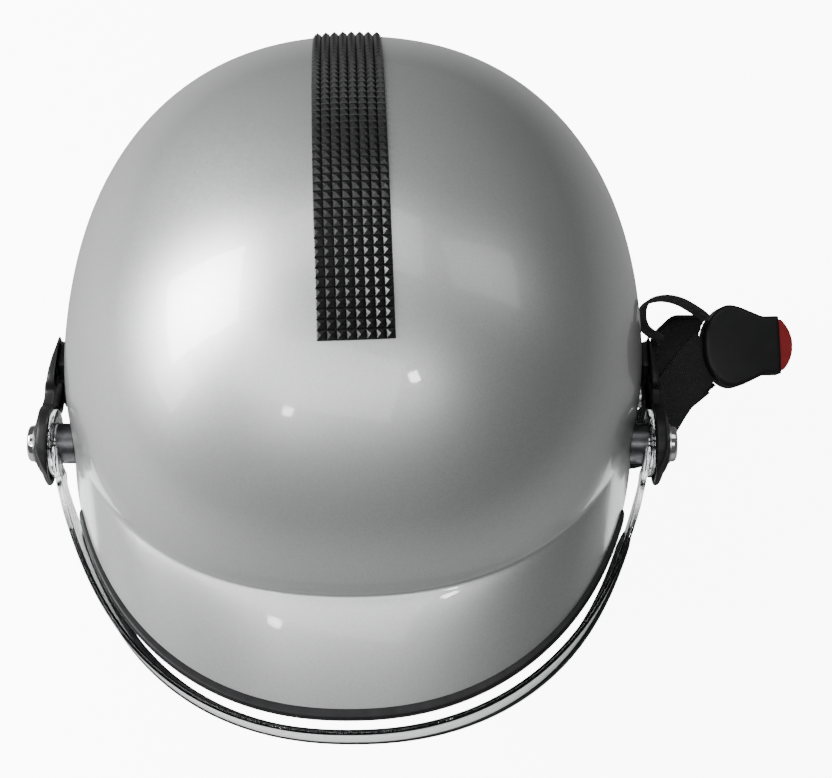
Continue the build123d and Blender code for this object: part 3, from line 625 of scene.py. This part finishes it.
def shell_section(bearing, edge, edge_z):
    """One upright section: outer skin from crown to edge, lip, underside, inner skin to the crown."""
    crease = float(dome_reach(bearing)) * float(dome_scale(np.array(CREASE_Z)))
    width, drop = max(edge - crease, 0.0), CREASE_Z - edge_z
    scale, z = dome_profile(CREASE_Z)
    keep = z > CREASE_Z + 0.01
    dome = np.stack([float(dome_reach(bearing)) * scale[keep], z[keep]], 1)
    share = np.linspace(0, 1, 60)
    levels = CREASE_Z - drop * share**1.2
    if width > 0:
        flare = np.stack([crease + width * share, levels], 1)
    else:
        flare = np.stack([float(dome_reach(bearing)) * dome_scale(levels), levels], 1)
    outer = np.vstack([dome, flare])
    fine = resample(outer, 1200)
    corner = np.argmin(np.hypot(fine[:, 0] - crease, fine[:, 1] - CREASE_Z))
    kernel = np.exp(-0.5 * (np.arange(-16, 17) / 5.5) ** 2)
    kernel /= kernel.sum()
    smoothed = np.stack([np.convolve(fine[:, k], kernel, "same") for k in (0, 1)], 1)
    near = slice(max(corner - 40, 0), corner + 40)
    fade = np.clip(2 - np.abs(np.arange(len(fine)) - corner)[near] / 20, 0, 1)[:, None]
    fine[near] = fine[near] * (1 - fade) + smoothed[near] * fade
    along = arc_lengths(fine)
    at_crease = along[corner]
    stations = np.concatenate([
        at_crease * (1 - crowded(100, 2.8))[::-1], at_crease + (along[-1] - at_crease) * crowded(42, 1.6)[1:]
    ])
    skin = np.stack([np.interp(stations, along, fine[:, k]) for k in (0, 1)], 1)
    skin[0, 0] = 0

    thickness = 0.9 * PEAK_THICKNESS + 0.8 * (1 - min(width / 12, 1))
    turn = np.radians(np.linspace(0, 180, 9))[1:-1]
    lip = np.stack([
        edge - thickness / 2 + thickness / 2 * np.cos(turn), edge_z - 1.0 * np.sin(turn)
    ], 1)
    share = np.linspace(0, 1, 16)[:, None]
    inner_reach = float(dome_reach(bearing)) - WALL
    start = np.array([edge - thickness, edge_z])
    under = np.array([
        start, [crease + 0.85 * width - thickness * 0.9, CREASE_Z - 0.82 * drop - 1],
        [crease + 0.64 * width - WALL * 0.9, CREASE_Z - 0.585 * drop - 2.4],
        [crease + 0.32 * width - WALL * 0.95, CREASE_Z - 0.255 * drop - 3],
        [inner_reach, LINING_EDGE_Z - 0.6],
    ])
    under = smooth_path(under, len(share))
    inner_scale, inner_levels = dome_profile(LINING_EDGE_Z, WALL, WALL, 40)
    above = inner_levels > LINING_EDGE_Z + 0.1
    inner = np.stack([inner_reach * inner_scale[above], inner_levels[above]], 1)[::-1]
    return np.vstack([skin, lip, under, inner])


def make_shell():
    bearing, edge, edge_z = shell_columns()
    sections = [shell_section(b, e, z) for b, e, z in zip(bearing, edge, edge_z)]
    profile = np.array(sections)
    reach, level = profile[..., 0], profile[..., 1]
    points = np.stack([reach * np.sin(bearing)[:, None], -reach * np.cos(bearing)[:, None], level], -1)
    faces = grid_faces(points.shape[0], points.shape[1], True, False)
    obj = mesh_object("shell", points.reshape(-1, 3), faces)
    work = bmesh.new()
    work.from_mesh(obj.data)
    bmesh.ops.remove_doubles(work, verts=work.verts, dist=1e-6)
    work.to_mesh(obj.data)
    work.free()
    return finish_piece(outward(obj), "root", "shell_paint", ["outer_shell"])


# ---- Sweeps ----------------------------------------------------------------------------
def unit(vectors):
    vectors = np.asarray(vectors, float)
    return vectors / np.maximum(np.linalg.norm(vectors, axis=-1, keepdims=True), 1e-9)


def frames_along(path, sides, closed=False):
    """Directions across the path (as near to sides as it can be) and square to both."""
    ahead = (np.roll(path, -1, 0) - np.roll(path, 1, 0)) if closed else np.gradient(path, axis=0)
    ahead = unit(ahead)
    sides = np.broadcast_to(np.asarray(sides, float), path.shape)
    across = unit(sides - (sides * ahead).sum(1, keepdims=True) * ahead)
    return across, np.cross(ahead, across)


def sweep(name, path, sides, profile, sizes=None, closed=False):
    """Profile (u along sides, v square to it) carried along a path, with UVs in metres."""
    path = np.asarray(path, float)
    across, upright = frames_along(path, sides, closed)
    sizes = np.ones(len(path)) if sizes is None else sizes
    u = profile[:, 0][None, :, None] * sizes[:, None, None]
    v = profile[:, 1][None, :, None] * sizes[:, None, None]
    sections = path[:, None] + u * across[:, None] + v * upright[:, None]
    along = arc_lengths(path)
    uv = np.stack(np.broadcast_arrays(profile[:, 0][None, :] + 0.25 * profile[:, 1], along[:, None]), -1)
    return outward(tube(name, sections, closed, uv))


def ends(count, reach=5, least=0.25):
    """Sizes that shrink a bead smoothly over its last few stations."""
    k = np.arange(count)
    near = np.clip(np.minimum(k, count - 1 - k) / reach, 0, 1)
    return least + (1 - least) * np.sqrt(1 - (1 - near) ** 2)


def join(name, objects):
    """One object out of several."""
    points, faces = [], []
    for obj in objects:
        start = len(points)
        points += [tuple(v.co / MM) for v in obj.data.vertices]
        faces += [[start + k for k in face.vertices] for face in obj.data.polygons]
        bpy.data.objects.remove(obj)
    return mesh_object(name, points, faces)


def stitches(name, path, normal, body, length=2.4, pitch=3.4, radius=0.28):
    """Row of short thread stitches lying along a path."""
    path = resample(np.asarray(path, float), max(int(arc_lengths(np.asarray(path, float))[-1] / 0.4), 8))
    along = arc_lengths(path)
    points, faces = [], []
    ring = np.linspace(0, 2 * np.pi, 8, endpoint=False)
    for start in np.arange(pitch / 2, along[-1] - length, pitch):
        t = np.linspace(0, 1, 7)
        centre = np.stack([np.interp(start + t * length, along, path[:, k]) for k in range(3)], 1)
        bulge = np.sin(np.pi * t)
        centre = centre + np.asarray(normal) * (0.22 * bulge[:, None] - 0.1)
        across, upright = frames_along(centre, normal)
        size = (radius * (0.35 + 0.65 * bulge))[:, None, None]
        rings = centre[:, None] + size * (
            np.cos(ring)[None, :, None] * across[:, None] + np.sin(ring)[None, :, None] * upright[:, None]
        )
        base = len(points)
        points += rings.reshape(-1, 3).tolist()
        faces += [[base + k for k in face] for face in grid_faces(7, 8, False, True)]
        faces += [[base + k for k in range(8)][::-1], [base + 48 + k for k in range(8)]]
    obj = outward(mesh_object(name, points, faces))
    return finish_piece(obj, body, "webbing")


# ---- Rubber trims ----------------------------------------------------------------------
def make_brim_trim():
    x, y, z = peak_edge(np.linspace(-65, 65, 260))
    reach = np.hypot(x, y)
    sides = np.stack([x / reach, y / reach, 0 * x], 1)
    path = sides * (reach - BRIM_BEAD_INSET)[:, None] + np.stack([0 * x, 0 * x, z + BRIM_BEAD_RISE], 1)
    bead = sweep("brim_bead", path, sides, rounded_rectangle(*BRIM_BEAD), ends(260))
    finish_piece(bead, "root", "black_rubber", ["brim_trim"])


def make_rim_trim():
    search = np.linspace(0.7, 1.9, 300)
    start = np.interp(-38.5, -np.cos(search) * dome_reach(search), search)
    bearing = np.linspace(start, 2 * np.pi - start, 420)
    z = rim_z(-np.cos(bearing) * dome_reach(bearing))
    reach = dome_reach(bearing) * dome_scale(z)
    sides = np.stack([np.sin(bearing), -np.cos(bearing), 0 * bearing], 1)
    path = sides * (reach - RIM_BEAD_INSET)[:, None] + np.stack([0 * z, 0 * z, z + RIM_BEAD_RISE], 1)
    bead = sweep("rim_bead", path, sides, rounded_rectangle(*RIM_BEAD), ends(420))
    finish_piece(bead, "root", "black_rubber", ["rim_trim"])


# ---- Studded crown strip ---------------------------------------------------------------
def dome_points(across, polar):
    """Points of the dome at a distance across the strip and an angle about its middle."""
    near, far = np.full(across.shape, 20.0), np.full(across.shape, 190.0)
    turn = math.radians(STRIPE_SKEW)
    for _ in range(44):
        middle = (near + far) / 2
        along = STRIPE_CENTRE_Y - middle * np.cos(polar)
        z = STRIPE_CENTRE_Z + middle * np.sin(polar)
        x = STRIPE_OFFSET + across * math.cos(turn) - along * math.sin(turn)
        y = across * math.sin(turn) + along * math.cos(turn)
        inside = np.hypot(x, y) < dome_reach(np.arctan2(x, -y)) * dome_scale(z)
        near, far = np.where(inside, middle, near), np.where(inside, far, middle)
    return np.stack([x, y, z], -1)


def make_stripe():
    """Eight rows of square studs, each a low pyramid between grooves."""
    search = np.linspace(0.02, np.pi + 0.2, 1500)
    middle = dome_points(np.zeros(1500), search)
    first = np.argmax(middle[:, 1] > STRIPE_FRONT_Y)
    last = len(search) - 1 - np.argmax(middle[::-1, 2] > STRIPE_REAR_Z)
    along = arc_lengths(middle[first:last])
    rows, columns = int(round(along[-1] / STUD_PITCH)), STUD_COLUMNS
    shares = np.array([0.0, 0.1, 0.5, 0.9])
    row_at = np.append((np.arange(rows)[:, None] + shares).ravel(), rows) / rows
    column_at = np.append((np.arange(columns)[:, None] + shares).ravel(), columns) / columns
    polar = np.interp(row_at * along[-1], along, search[first:last])
    across = (column_at - 0.5) * STRIPE_WIDTH
    grid_across, grid_polar = np.meshgrid(across, polar)
    base = dome_points(grid_across, grid_polar)
    normal = unit(np.cross(np.gradient(base, axis=1), np.gradient(base, axis=0)))
    if normal[len(polar) // 2, 16, 2] < 0:
        normal = -normal
    place = [np.append(np.tile([0.0, 0.6, STUD_HEIGHT, 0.6], n), 0.0) for n in (rows, columns)]
    height = STUD_BASE + np.minimum(place[0][:, None], place[1][None, :])
    top = base + normal * height[..., None]
    skirt = base - normal * 0.3
    total_rows, total_columns = height.shape
    faces = []
    for r, c in ((r, c) for r in range(total_rows - 1) for c in range(total_columns - 1)):
        a = r * total_columns + c
        b, d, e = a + 1, a + total_columns, a + total_columns + 1
        if (r % 4, c % 4) in ((1, 2), (2, 1)):
            faces += [[a, b, d], [b, e, d]]
        else:
            faces += [[a, b, e], [a, e, d]]
    offset = total_rows * total_columns
    border = list(range(total_columns))
    border += [r * total_columns + total_columns - 1 for r in range(1, total_rows)]
    border += [(total_rows - 1) * total_columns + c for c in range(total_columns - 2, -1, -1)]
    border += [r * total_columns for r in range(total_rows - 2, 0, -1)]
    faces += [[a, offset + a, offset + b, b] for a, b in zip(border, border[1:] + border[:1])]
    points = np.vstack([top.reshape(-1, 3), skirt.reshape(-1, 3)])
    faces += [[offset + k for k in face] for face in grid_faces(total_rows, total_columns)]
    strip = outward(mesh_object("crown_studs", points, faces))
    finish_piece(strip, "root", "studded_rubber", ["crown_stripe"], smooth=False)


# ---- Visor -----------------------------------------------------------------------------
def visor_point(angle, z, inset=0.0):
    """Point of the shield's outer surface at a plan angle and a level."""
    share = (VISOR_TOP[1] - z) / (VISOR_TOP[1] - VISOR_LOW[1])
    front_y = VISOR_TOP[0] + share * (VISOR_LOW[0] - VISOR_TOP[0]) - VISOR_BOW * (1 - (2 * share - 1) ** 2)
    depth = VISOR_CENTRE_Y - front_y - inset
    half = VISOR_HALF_WIDTH - VISOR_TAPER * np.maximum(PIVOT_Z - z, 0) - inset
    across, along = np.abs(np.sin(angle)), np.cos(angle)
    reach = (across / half) ** VISOR_POWER + (np.abs(along) / np.where(along > 0, depth, 60.0)) ** VISOR_POWER
    reach = reach ** (-1 / VISOR_POWER)
    return np.stack([reach * np.sin(angle), VISOR_CENTRE_Y - reach * along, z + 0 * angle], -1)


def visor_level(angle, curve):
    """Level at which an edge curve crosses the shield at a plan angle."""
    z = np.full(np.shape(angle), 0.0)
    for _ in range(12):
        z = 0.5 * z + 0.5 * interpolate(curve, visor_point(angle, z)[..., 1])
    return z


def visor_columns(end_y, count):
    search = np.linspace(0.6, 1.5, 400)
    y = visor_point(search, visor_level(search, VISOR_TOP_CURVE))[:, 1]
    last = np.interp(end_y, y, search)
    return np.linspace(-last, last, count)


def make_visor():
    angle = visor_columns(-57.5, 321)
    low, high = visor_level(angle, VISOR_LOW_CURVE), visor_level(angle, VISOR_TOP_CURVE)
    share = np.linspace(0, 1, 34)[:, None]
    z = low + (high - low) * share
    wide = np.broadcast_to(angle, z.shape)
    outer, inner = visor_point(wide, z), visor_point(wide, z, VISOR_THICKNESS)
    top_lip = (outer[-1:] + inner[-1:]) / 2 + np.array([0, 0, 0.6])
    low_lip = (outer[:1] + inner[:1]) / 2 - np.array([0, 0, 0.6])
    sections = np.concatenate([outer, top_lip, inner[::-1], low_lip]).swapaxes(0, 1)
    pieces = [outward(tube("visor_shell", sections))]
    for side in (-1, 1):
        ring = np.linspace(0, 2 * np.pi, 96, endpoint=False)
        wide, rim, low, high = EAR_RADIUS, EAR_RADIUS - 0.4, EAR_INNER_X, EAR_OUTER_X
        profile = [
            (EAR_BORE, low), (rim, low), (wide, low + 0.4), (wide, high - 0.4), (rim, high), (EAR_BORE, high),
        ]
        disc = []
        for a in ring:
            y, z = math.cos(a), math.sin(a)
            disc.append([(side * x, PIVOT_Y + r * y, PIVOT_Z + r * z) for r, x in profile])
        pieces.append(outward(tube(f"ear{side}", disc, closed=True)))
    finish_piece(join("visor_clear", pieces), "visor", "clear_visor", ["visor_shield"])


def make_visor_trim():
    angle = visor_columns(-72, 301)
    z = visor_level(angle, VISOR_LOW_CURVE)
    path = visor_point(angle, z, VISOR_THICKNESS / 2 - 0.3) + np.array([0, 0, 0.6])
    inner = visor_point(angle, z, 6.0)
    bead = sweep("visor_bead", path, path - inner, rounded_rectangle(*VISOR_BEAD), ends(301))
    finish_piece(bead, "visor", "black_rubber", ["visor_edge_trim"])


# ---- Moulded and padded pieces made from their CAD shapes --------------------------------
def copy_of(name, *nodes):
    """New object with the shapes of some CAD pieces, in the row frame."""
    work = bmesh.new()
    for node in nodes:
        mesh = frame["nodes"][node].data.copy()
        mesh.transform(frame["nodes"][node].matrix_world)
        work.from_mesh(mesh)
        bpy.data.meshes.remove(mesh)
    mesh = bpy.data.meshes.new(name)
    work.to_mesh(mesh)
    work.free()
    obj = bpy.data.objects.new(name, mesh)
    bpy.context.scene.collection.objects.link(obj)
    return obj


def coordinates(obj):
    flat = np.empty(len(obj.data.vertices) * 3)
    obj.data.vertices.foreach_get("co", flat)
    return flat.reshape(-1, 3) / MM


def set_coordinates(obj, points):
    obj.data.vertices.foreach_set("co", (points * MM).ravel())
    obj.data.update()


def softened(name, node, voxel, passes):
    """A CAD piece remeshed with even cells and smoothed a number of times."""
    obj = copy_of(name, node)
    remesh = obj.modifiers.new("remesh", "REMESH")
    remesh.mode, remesh.voxel_size = "VOXEL", voxel * MM
    smooth = obj.modifiers.new("smooth", "SMOOTH")
    smooth.factor, smooth.iterations = 0.5, passes
    apply_modifiers(obj)
    return obj


def moulded(name, node, body, slot, voxel, passes, shape=None):
    """A CAD piece with its edges rounded as moulding leaves them."""
    obj = softened(name, node, voxel, passes)
    if shape:
        set_coordinates(obj, shape(coordinates(obj)))
    return finish_piece(obj, body, slot, [node])


def cushion(name, node, body, slot, voxel, limit, pressure=CLOTH_PRESSURE):
    """A CAD pad swollen by cloth simulation, no point moving further than the limit."""
    obj = softened(name, node, voxel, 3)
    rest = coordinates(obj)
    scene = bpy.context.scene
    cloth = obj.modifiers.new("cloth", "CLOTH")
    cloth.settings.use_pressure = True
    cloth.settings.uniform_pressure_force = pressure
    cloth.settings.effector_weights.gravity = 0
    cloth.point_cache.frame_start, cloth.point_cache.frame_end = 1, CLOTH_FRAMES
    for step in range(1, CLOTH_FRAMES + 1):
        scene.frame_set(step)
    baked = obj.evaluated_get(bpy.context.evaluated_depsgraph_get())
    swollen = np.array([v.co for v in baked.data.vertices]) / MM
    obj.modifiers.clear()
    scene.frame_set(1)
    move = swollen - rest
    size = np.linalg.norm(move, axis=1, keepdims=True)
    set_coordinates(obj, rest + move * np.minimum(1, limit / np.maximum(size, 1e-6)))
    obj.modifiers.new("subdivision", "SUBSURF").levels = 1
    apply_modifiers(obj)
    finish_piece(obj, body, slot, [node])
    return obj


def plate_shape(points):
    """Thins a cover plate towards its ends and rolls its long edges over."""
    out = np.array(points)
    reach = interpolate(PLATE_CROWN, out[:, 1])
    flat = np.clip((np.hypot(out[:, 1] - PIVOT_Y, out[:, 2] - PIVOT_Z) - 8.5) / 4, 0, 1)
    roll = 1 - np.clip((np.abs(out[:, 2] - PIVOT_Z) - 6) / 11, 0, 1) ** 2.2 * 0.42
    wanted = PLATE_INNER_X + (reach - PLATE_INNER_X) * roll
    wanted = flat * wanted + (1 - flat) * PLATE_OUTER_X
    share = (np.abs(out[:, 0]) - PLATE_INNER_X) / (PLATE_OUTER_X - PLATE_INNER_X)
    height = np.where(share > 0, PLATE_INNER_X + share * (wanted - PLATE_INNER_X), np.abs(out[:, 0]))
    out[:, 0] = np.sign(out[:, 0]) * height
    return out


def make_side_plates():
    for side in ("left", "right"):
        moulded(f"cover_plate_{side}", f"side_plate_{side}", "root", "black_plastic", 0.6, 22, plate_shape)


def make_pads():
    for pad in ("brow_pad", "nape_pad", "side_pad_left", "side_pad_right", "crown_pad"):
        cushion(f"{pad}_foam", pad, "root", "lining_fabric", 4.0, 2.2)


# ---- Straps ----------------------------------------------------------------------------
def strap_axes():
    """Axes of the splayed strap: away from the helmet, towards the rear, and its upper face."""
    slope, roll = math.radians(SPLAY_ANGLE), math.radians(SPLAY_ROLL)
    away = np.array([math.cos(slope), 0, -math.sin(slope)])
    face = unit(np.cross(away, (0, math.cos(roll), math.sin(roll))))
    return np.array([away, np.cross(face, away), face])


def turned(axes, degrees):
    """Axes turned about the frame's Z."""
    a = math.radians(degrees)
    return axes @ np.array([[math.cos(a), math.sin(a), 0], [-math.sin(a), math.cos(a), 0], [0, 0, 1.0]])


STRAP_ORIGIN = np.array(HANGER_BAR)
STRAP_AXES = strap_axes()
BUCKLE_ORIGIN = STRAP_ORIGIN + np.array([BUCKLE_U, BUCKLE_V, 0]) @ STRAP_AXES
BUCKLE_AXES = turned(STRAP_AXES, BUCKLE_TURN)
HANGING_ORIGIN = STRAP_ORIGIN * (-1, 1, 1)
HANGING_AXES = np.array([[0, 0, -1.0], [0, 1.0, 0], [1.0, 0, 0]])


def strap_at(points):
    return STRAP_ORIGIN + np.asarray(points, float) @ STRAP_AXES


def buckle_at(points):
    return BUCKLE_ORIGIN + np.asarray(points, float) @ BUCKLE_AXES


def hanging_at(points):
    return HANGING_ORIGIN + np.asarray(points, float) @ HANGING_AXES


def web_section(width=WEB_WIDTH, thickness=WEB_THICKNESS, corner=0.5):
    return rounded_rectangle(width / 2, thickness / 2, corner, 4)


def web_loop(name, bar, body):
    """Webbing once round a hanger's bar."""
    turn = np.linspace(0, 2 * np.pi, 48, endpoint=False)
    path = bar + WEB_LOOP_RADIUS * np.stack([np.cos(turn), 0 * turn, np.sin(turn)], 1)
    loop = sweep(name, path, (0, 1, 0), web_section(WEB_WIDTH - 1, WEB_THICKNESS - 0.1), closed=True)
    return finish_piece(loop, body, "webbing")


def make_left_strap():
    slot = buckle_at((-5.0, 0, 0))
    knots = np.array([[111.5, -22, -7.3], *strap_at([(9, 1, 2.0), (18, 9, 0), (30, 28, 0)]), slot])
    path = smooth_path(knots, 90)
    level, rolled = np.array([0, 1.0, 0]), STRAP_AXES[1]
    turn = interpolate([(0, 0), (0.16, 0.4), (0.34, 1), (1, 1)], np.linspace(0, 1, 90))[:, None]
    web = sweep("left_webbing", path, level * (1 - turn) + rolled * turn, web_section())
    finish_piece(web, "left_strap", "webbing", ["chin_strap_left"])
    web_loop("left_web_loop", STRAP_ORIGIN, "left_strap")
    tail = smooth_path([(*point, 0) for point in TAIL_PATH], 120)
    tail = strap_at(tail + np.array([0, 0, 6.1]))
    ribbon = sweep("tail_ribbon", tail, STRAP_AXES[2], web_section(14.0, 1.6, 0.45))
    finish_piece(ribbon, "left_strap", "webbing", ["strap_tail"])


def make_right_strap():
    path = hanging_at(np.stack([np.linspace(3, 95, 80), 0 * np.arange(80), 0 * np.arange(80)], 1))
    web = sweep("right_webbing", path, (0, 1, 0), web_section())
    finish_piece(web, "right_strap", "webbing", ["chin_strap_right"])
    web_loop("right_web_loop", HANGING_ORIGIN, "right_strap")
    for down in (14, 22):
        for face, label in ((1, ""), (-1, "back_")):
            row = hanging_at([(down, y, face * 0.95) for y in (-8, 8)])
            stitches(f"right_bartack_{label}{down}", row, (face, 0, 0), "right_strap")


def rounded_path(corners, closed, radius=3.0, step=0.8):
    """Corners joined by straight runs and round bends, in the plane of the corners."""
    corners = np.asarray(corners, float)
    run = np.vstack([corners, corners[:1]]) if closed else corners
    fine = resample(run, int(arc_lengths(run)[-1] / step))
    if closed:
        fine = fine[:-1]
    width = int(radius / step)
    for _ in range(width * 2):
        ahead, behind = np.roll(fine, -1, 0), np.roll(fine, 1, 0)
        if not closed:
            ahead[-1], behind[0] = fine[-1], fine[0]
        fine = (ahead + 2 * fine + behind) / 4
    return fine


def make_flaps():
    """Padded ear flaps with a bound edge and a row of stitches inside it."""
    depth = -0.9 - 0.4 - 1.3
    left_edge = [(41.5, 60.6), (26.8, 59.9), (19, 52), (14.5, 36), (15, 2.1), (44.2, 27.9)]
    for side, place, body, corners in (
        ("left", strap_at, "left_strap", left_edge),
        ("right", hanging_at, "right_strap", FLAP_OUTLINE),
    ):
        cushion(f"flap_pad_{side}", f"ear_flap_{side}", body, "flap_leatherette", 1.1, 0.9, 1.0)
        closed = side == "right"
        edge = rounded_path(corners, closed)
        path = place(np.column_stack([edge, np.full(len(edge), depth)]))
        normal = place([(0, 0, 1.0)])[0] - place([(0, 0, 0.0)])[0]
        bead = rounded_rectangle(1.65, 0.9, 0.8, 4)
        binding = sweep(f"flap_binding_{side}", path, normal, bead, closed=closed)
        finish_piece(binding, body, "flap_leatherette")
        middle = np.array([31.0, 40.0])
        inset = edge + unit(middle - edge) * 3.2
        for face in (-1, 1):
            row = place(np.column_stack([inset, np.full(len(edge), depth + face * 1.5)]))
            stitches(f"flap_stitches_{side}_{'back' if face < 0 else 'face'}", row, normal * face, body)


# ---- Buckle and tongue -----------------------------------------------------------------
def crowned(points):
    """Bulges the buckle's faces a little towards their middle."""
    local = (points - BUCKLE_ORIGIN) @ BUCKLE_AXES.T
    away = np.hypot((local[:, 0] - 4) / 24, local[:, 1] / 18)
    local[:, 2] *= 1 - 0.16 * np.clip(away, 0, 1.2) ** 2
    return buckle_at(local)


def ribbed(points):
    """Grip ribs pressed into both faces of the tongue's handle."""
    local = (points - HANGING_ORIGIN) @ HANGING_AXES.T
    down, across, level = local[:, 0] - GRIP_MIDDLE, np.abs(local[:, 1]), local[:, 2].copy()
    window = np.clip((GRIP_HALF_LENGTH - np.abs(down)) / RIB_FADE, 0, 1)
    window *= np.clip((GRIP_HALF_WIDTH - across) / RIB_FADE, 0, 1)
    groove = 0.5 - 0.5 * np.cos(2 * np.pi * down / RIB_PITCH)
    local[:, 2] -= np.sign(level) * RIB_DEPTH * window * groove * (np.abs(level) > GRIP_FACE)
    return hanging_at(local)


def make_buckle():
    moulded("buckle_lower", "buckle_housing", "left_strap", "black_plastic", 0.42, 5, crowned)
    moulded("buckle_upper", "buckle_cover", "left_strap", "black_plastic", 0.42, 5, crowned)
    moulded("red_button", "buckle_button", "release_button", "red_plastic", 0.32, 6)
    moulded("tongue_handle", "tongue_grip", "right_strap", "black_plastic", 0.45, 5, ribbed)
    moulded("web_slider", "strap_slider", "slider", "black_plastic", 0.38, 4)
    springs = copy_of("return_springs", "buckle_springs")
    finish_piece(springs, "left_strap", "steel", ["buckle_springs"])
    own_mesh(springs)


make_camera()
make_lights()
make_materials()
make_shell()
make_brim_trim()
make_rim_trim()
make_stripe()
make_visor()
make_visor_trim()
make_side_plates()
make_pads()
make_left_strap()
make_right_strap()
make_flaps()
make_buckle()

# ---- Floor and materials for the CAD pieces --------------------------------------------
floor_z = min(CAD_BOX[0][2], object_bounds()[0].z) / MM
floor = mesh_object("floor", [(-6000, -6000, floor_z), (6000, -6000, floor_z), (6000, 6000, floor_z),
                              (-6000, 6000, floor_z)], [(0, 1, 2, 3)])
floor.data.materials.append(pale_floor())

for name, node in frame["nodes"].items():
    slot = next(s["material_slot"] for s in frame["record"]["subparts"] if s["node"] == name)
    node.data.materials.clear()
    node.data.materials.append(MATERIALS[slot])
